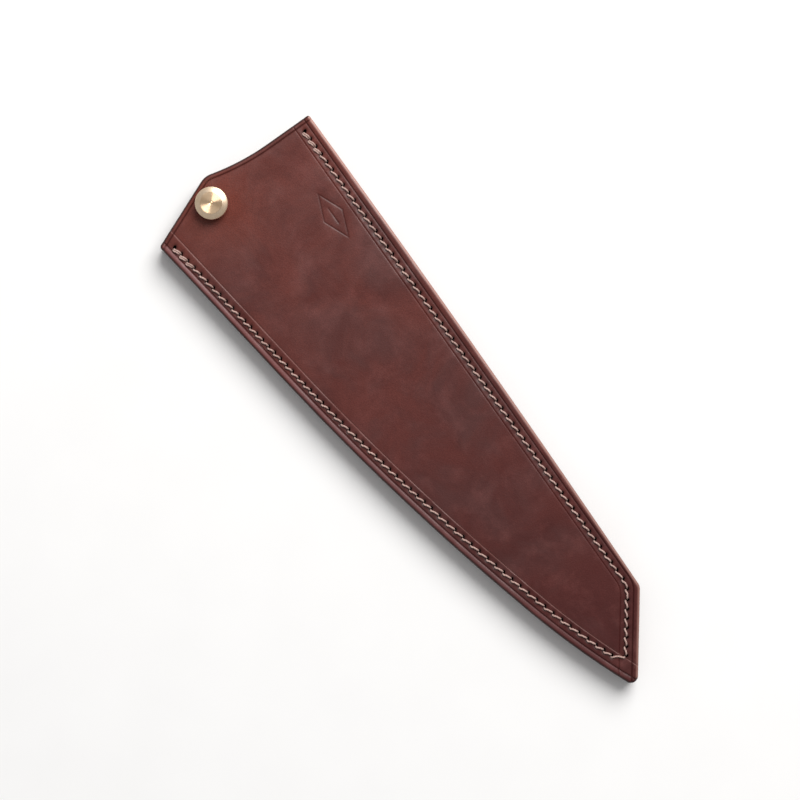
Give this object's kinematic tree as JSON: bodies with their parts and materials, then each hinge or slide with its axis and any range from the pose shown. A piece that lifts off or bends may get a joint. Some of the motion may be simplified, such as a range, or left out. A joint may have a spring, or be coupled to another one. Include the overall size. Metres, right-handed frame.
{
  "type": "knife sheath",
  "caption": "Flat stitched leather sheath for a long kitchen knife with an angled tip, closed behind the blade's heel by a pull-out turned brass pin.",
  "frame": {"origin": "centre of the outline, on the outer face of the back panel", "axes": "+X runs along the sheath from the mouth to the point, +Y towards the blade's spine, +Z out of the front panel, where the pin's head is"},
  "size_m": [0.2644, 0.0798, 0.0164],
  "materials": {
    "leather": "waxed, semi-matt, dark reddish brown",
    "welt_leather": "burnished edge, dark reddish brown",
    "thread": "waxed, pale beige",
    "brass": "turned, satin"
  },
  "bodies": {
    "sheath": {"front_panel": "leather", "back_panel": "leather", "spine_welt": "welt_leather", "tip_welt": "welt_leather", "edge_welt": "welt_leather", "spine_seam_thread": "thread", "edge_seam_thread": "thread"},
    "pin": {"retaining_pin": "brass"}
  },
  "joints": [
    {"name": "pin_pull", "type": "slide", "parent": "sheath", "child": "pin", "axis": [0, 0, 1], "range_m": [0, 0.012]}
  ]
}
